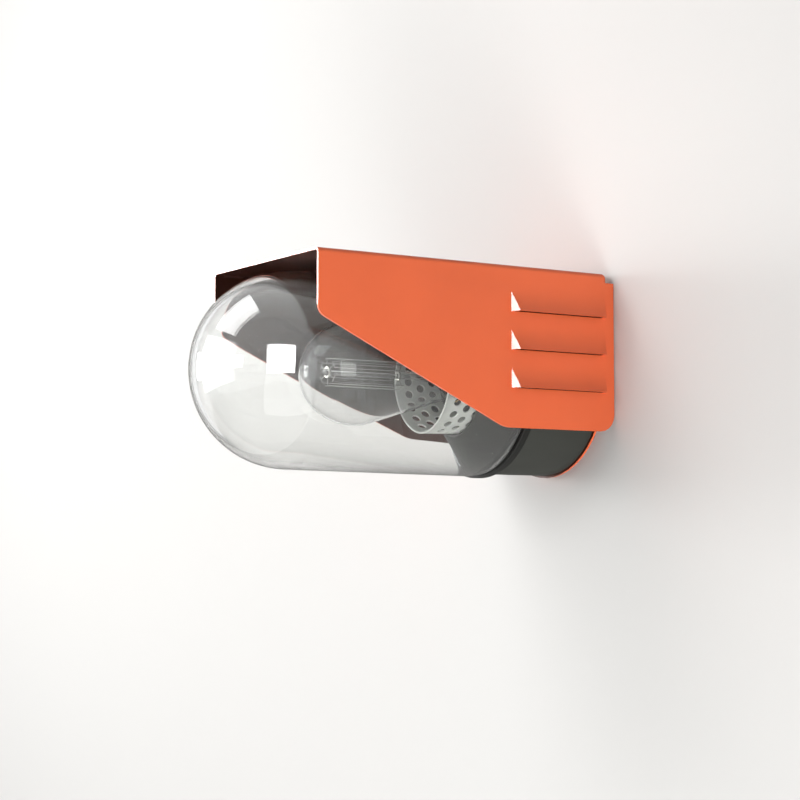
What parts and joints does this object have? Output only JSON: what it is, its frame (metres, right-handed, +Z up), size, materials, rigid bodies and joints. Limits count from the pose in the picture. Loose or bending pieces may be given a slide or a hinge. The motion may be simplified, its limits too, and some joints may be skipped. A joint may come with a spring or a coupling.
{
  "type": "wall lamp",
  "caption": "Wall lamp: folded sheet hood with pressed louvres over a clear glass dome on a round base, with a filament bulb in a perforated shroud; glass and bulb come out.",
  "frame": {"origin": "on the lamp's axis, on the wall bracket's back face, which lies on the wall", "axes": "+Z up, +Y into the wall along the lamp's axis, so the glass points along -Y; +X to the right seen from the front"},
  "size_m": [0.1426, 0.2629, 0.1296],
  "materials": {
    "orange_powder_coat": "satin powder coat on folded sheet",
    "dark_powder_coat": "dark grey matt powder coat",
    "zinc": "zinc plated steel",
    "pale_steel": "pale grey painted perforated steel",
    "dome_glass": "thick clear blown glass",
    "bulb_glass": "thin clear glass",
    "silicone": "black silicone rubber",
    "porcelain": "dark glazed porcelain",
    "brass": "pressed brass",
    "nickel": "nickel plate",
    "cap_glass": "black cap glass",
    "solder": "tin solder",
    "tungsten": "drawn wire",
    "nylon": "white moulded nylon",
    "brown_lead": "insulated wire",
    "blue_lead": "insulated wire",
    "green_lead": "insulated wire"
  },
  "bodies": {
    "fixture": {"hood": "orange_powder_coat", "wall_bracket": "zinc", "fixing_screw_1": "zinc", "fixing_screw_2": "zinc", "fixing_screw_3": "zinc", "base_housing": "dark_powder_coat", "housing_cover": "dark_powder_coat", "well_floor": "dark_powder_coat", "cover_screw_1": "zinc", "cover_screw_2": "zinc", "cover_screw_3": "zinc", "socket_shroud": "pale_steel", "lampholder_body": "porcelain", "lampholder_screw_1": "zinc", "lampholder_screw_2": "zinc", "screw_shell": "brass", "centre_contact": "brass", "cable_grommet": "silicone", "terminal_block": "nylon", "terminal_screw_1": "brass", "terminal_screw_2": "brass", "terminal_screw_3": "brass", "live_lead": "brown_lead", "neutral_lead": "blue_lead", "earth_lead": "green_lead", "earth_screw": "zinc"},
    "gasket": {"neck_gasket": "silicone"},
    "glass": {"glass_dome": "dome_glass", "neck_ring": "dark_powder_coat"},
    "bulb_tip": {"bulb_contact": "solder"},
    "bulb": {"bulb_cap": "nickel", "bulb_insulator": "cap_glass", "bulb_envelope": "bulb_glass", "bulb_stem": "bulb_glass", "filament": "tungsten", "front_hooks": "tungsten", "rear_hooks": "tungsten", "lead_in_wire_1": "nickel", "lead_in_wire_2": "nickel"}
  },
  "joints": [
    {"name": "glass_pull", "type": "slide", "parent": "fixture", "child": "gasket", "axis": [0, -1, 0], "range_m": [0, 0.21]},
    {"name": "glass_turn", "type": "hinge", "parent": "gasket", "child": "glass", "pos_m": [0, -0.06, 0], "axis": [0, -1, 0], "range_deg": [0, 90]},
    {"name": "bulb_out", "type": "slide", "parent": "fixture", "child": "bulb_tip", "axis": [0, -1, 0], "range_m": [0, 0.0218]},
    {"name": "bulb_turn", "type": "hinge", "parent": "bulb_tip", "child": "bulb", "pos_m": [0, -0.1, 0], "axis": [0, -1, 0], "range_deg": [0, 2160]}
  ],
  "couplings": [
    {"joint": "bulb_out", "follows": "bulb_turn", "m_per_rad": 0.00057614}
  ]
}
